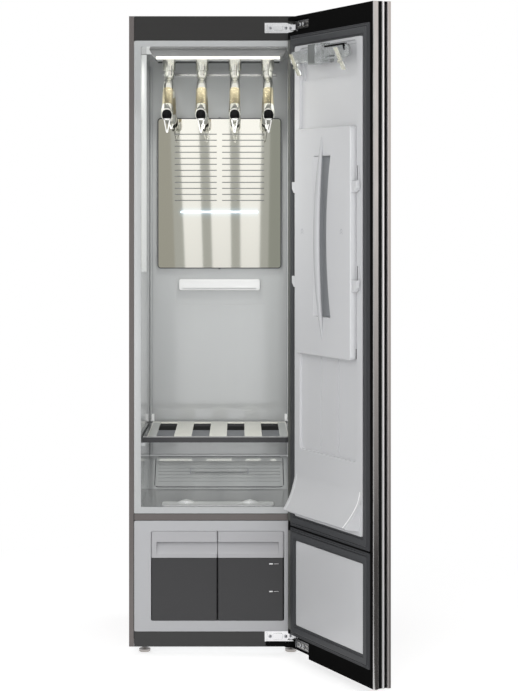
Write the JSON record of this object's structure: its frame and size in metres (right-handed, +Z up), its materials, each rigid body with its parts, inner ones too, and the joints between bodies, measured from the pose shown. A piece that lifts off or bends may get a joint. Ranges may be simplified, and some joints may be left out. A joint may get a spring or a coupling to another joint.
{
  "type": "clothes care steam cabinet",
  "caption": "Tall steam cabinet with an open hinged door, air hangers, an air mirror, a shelf, slide-out water tanks, and a trouser press and trouser hanger on the door.",
  "frame": {"origin": "middle of the cabinet's underside, the lower face of its base pan; the feet reach 24 mm below it", "axes": "+X to the right seen from the front, +Y to the back, +Z up"},
  "size_m": [0.7292, 1.0477, 1.874],
  "materials": {
    "case_steel": "satin",
    "dark_trim": "satin",
    "zinc_sheet": "satin",
    "edge_trim": "brushed",
    "white_plastic": "gloss",
    "pale_plastic": "satin",
    "foam": "matte",
    "chrome": "polished",
    "champagne": "gloss",
    "mirror": "polished",
    "light_lens": "gloss",
    "shelf_cream": "satin",
    "gasket_rubber": "matte",
    "tank_smoke": "gloss",
    "clear_plastic": "gloss",
    "fin_aluminium": "satin",
    "black_paint": "satin"
  },
  "bodies": {
    "cabinet": {"side_panel_left": "case_steel", "side_panel_right": "case_steel", "top_cover": "dark_trim", "rear_panel": "zinc_sheet", "top_fascia": "dark_trim", "divider_deck": "case_steel", "plinth": "dark_trim", "base_pan": "zinc_sheet", "foot_front_left": "zinc_sheet", "foot_front_right": "zinc_sheet", "foot_rear_left": "zinc_sheet", "foot_rear_right": "zinc_sheet", "cavity_liner": "pale_plastic", "insulation": "foam", "air_hood": "pale_plastic", "light_bar": "light_lens", "hanger_socket_1": "chrome", "hanger_socket_2": "chrome", "hanger_socket_3": "chrome", "hanger_socket_4": "chrome", "back_rail": "chrome", "air_mirror": "mirror", "mirror_light": "light_lens", "air_vent": "white_plastic", "steam_bar": "white_plastic", "tank_bay": "pale_plastic", "compressor": "black_paint", "heat_exchanger": "fin_aluminium", "steam_generator": "fin_aluminium", "blower_housing": "dark_trim", "control_box": "dark_trim", "hinge_plate_top": "chrome", "hinge_plate_bottom": "chrome"},
    "door": {"door_shell": "dark_trim", "door_front_panel": "case_steel", "door_edge_trim": "edge_trim", "door_grip_bar": "edge_trim", "door_liner": "white_plastic", "door_lower_liner": "white_plastic", "gasket_upper": "gasket_rubber", "gasket_lower": "gasket_rubber", "hinge_leaf_top": "chrome", "hinge_leaf_bottom": "chrome", "trouser_hook": "dark_trim"},
    "press": {"press_plate": "white_plastic"},
    "trouser_bar": {"trouser_hanger": "clear_plastic"},
    "left_clip": {"clip_jaw_left": "chrome"},
    "right_clip": {"clip_jaw_right": "chrome"},
    "hanger_1": {"air_hanger_1": "champagne"},
    "hanger_2": {"air_hanger_2": "champagne"},
    "hanger_3": {"air_hanger_3": "champagne"},
    "hanger_4": {"air_hanger_4": "champagne"},
    "shelf": {"shelf_frame": "dark_trim", "shelf_plate": "shelf_cream"},
    "supply": {"supply_tank": "tank_smoke", "supply_tank_cap": "white_plastic"},
    "drain": {"drain_tank": "tank_smoke", "drain_tank_cap": "white_plastic"},
    "filter": {"lint_filter": "pale_plastic"},
    "wheel": {"blower_wheel": "white_plastic"}
  },
  "joints": [
    {"name": "door_hinge", "type": "hinge", "parent": "cabinet", "child": "door", "pos_m": [0.2408, -0.3101, 0], "axis": [0, 0, 1], "range_deg": [-115.3, 4.7]},
    {"name": "press_lift", "type": "slide", "parent": "door", "child": "press", "axis": [0, 0, 1], "range_m": [0, 0.038]},
    {"name": "trouser_bar_lift", "type": "slide", "parent": "door", "child": "trouser_bar", "axis": [0, 0, 1], "range_m": [0, 0.03]},
    {"name": "left_clip_squeeze", "type": "hinge", "parent": "trouser_bar", "child": "left_clip", "pos_m": [0.2225, -0.43688, 1.68667], "axis": [-0.4274, 0.9041, 0], "range_deg": [0, 15], "stiffness_Nm_per_rad": 0.2, "springref_deg": -11.46},
    {"name": "right_clip_squeeze", "type": "hinge", "parent": "trouser_bar", "child": "right_clip", "pos_m": [0.33703, -0.67918, 1.68667], "axis": [-0.4274, 0.9041, 0], "range_deg": [0, 15], "stiffness_Nm_per_rad": 0.2, "springref_deg": -11.46},
    {"name": "hanger_1_pull", "type": "slide", "parent": "cabinet", "child": "hanger_1", "axis": [0, 0, -1], "range_m": [0, 0.06]},
    {"name": "hanger_2_pull", "type": "slide", "parent": "cabinet", "child": "hanger_2", "axis": [0, 0, -1], "range_m": [0, 0.06]},
    {"name": "hanger_3_pull", "type": "slide", "parent": "cabinet", "child": "hanger_3", "axis": [0, 0, -1], "range_m": [0, 0.06]},
    {"name": "hanger_4_pull", "type": "slide", "parent": "cabinet", "child": "hanger_4", "axis": [0, 0, -1], "range_m": [0, 0.06]},
    {"name": "shelf_slide", "type": "slide", "parent": "cabinet", "child": "shelf", "axis": [0, -1, 0], "range_m": [0, 0.05]},
    {"name": "supply_tank_slide", "type": "slide", "parent": "cabinet", "child": "supply", "axis": [0, -1, 0], "range_m": [0, 0.23]},
    {"name": "drain_tank_slide", "type": "slide", "parent": "cabinet", "child": "drain", "axis": [0, -1, 0], "range_m": [0, 0.23]},
    {"name": "filter_lift", "type": "slide", "parent": "cabinet", "child": "filter", "axis": [0, -0.6264, 0.7795], "range_m": [0, 0.06]},
    {"name": "blower_spin", "type": "hinge", "parent": "cabinet", "child": "wheel", "pos_m": [-0.115, 0.21, 0.296], "axis": [0, 1, 0], "continuous": true}
  ]
}
